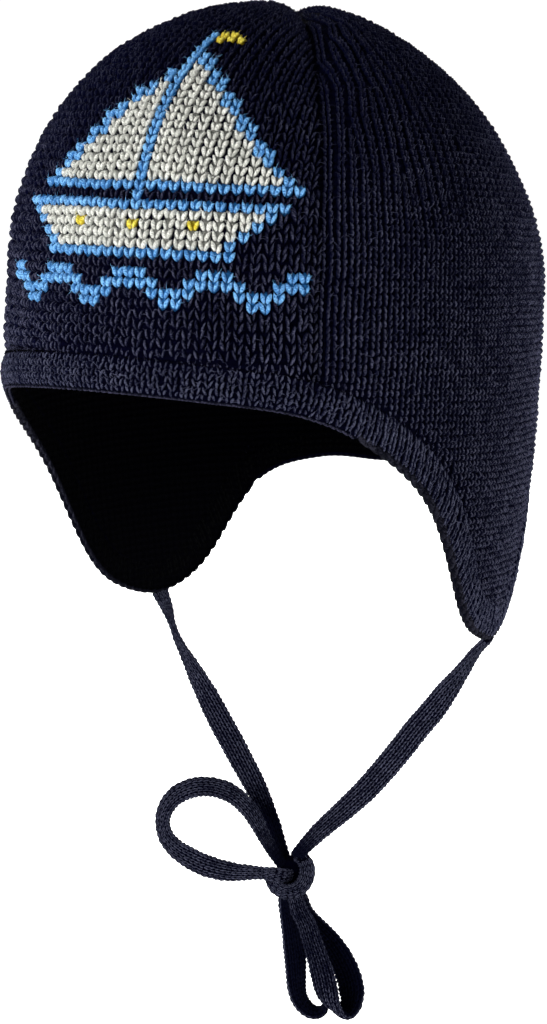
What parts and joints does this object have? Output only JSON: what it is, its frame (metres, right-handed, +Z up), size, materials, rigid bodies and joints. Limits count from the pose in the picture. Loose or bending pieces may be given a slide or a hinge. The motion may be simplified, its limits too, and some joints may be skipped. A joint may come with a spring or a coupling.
{
  "type": "baby hat with ear flaps and tie cords",
  "caption": "Knitted baby hat with a round crown of gores, a band round the opening, ear flaps and flat knitted tie cords in a bow under the chin.",
  "frame": {"origin": "inside the top of the crown, where the hat rests on the top of a head", "axes": "+Z up, -Y the way the wearer looks, +X the wearer's left; the hat is tilted back 3.9 degrees in this frame, as worn, and its cords hang straight down"},
  "size_m": [0.1332, 0.1633, 0.2821],
  "materials": {
    "knit_navy": "stocking-stitch wool-mix knit, dark navy, slightly fuzzy",
    "band_navy": "double knitted edge band in the same dark navy yarn",
    "cord_navy": "flat knitted cord in the same dark navy yarn",
    "knit_white": "off-white yarn of the knitted-in picture",
    "knit_blue": "mid-blue yarn of the knitted-in picture",
    "knit_yellow": "yellow yarn of the knitted-in picture"
  },
  "bodies": {
    "root": {"crown_front": "knit_navy", "crown_left": "knit_navy", "crown_back": "knit_navy", "crown_right": "knit_navy", "edge_band": "band_navy", "tie_left": "cord_navy", "tie_right": "cord_navy", "bow_knot": "cord_navy", "bow_loop_right": "cord_navy", "bow_loop_left": "cord_navy", "bow_tail": "cord_navy"}
  },
  "joints": []
}
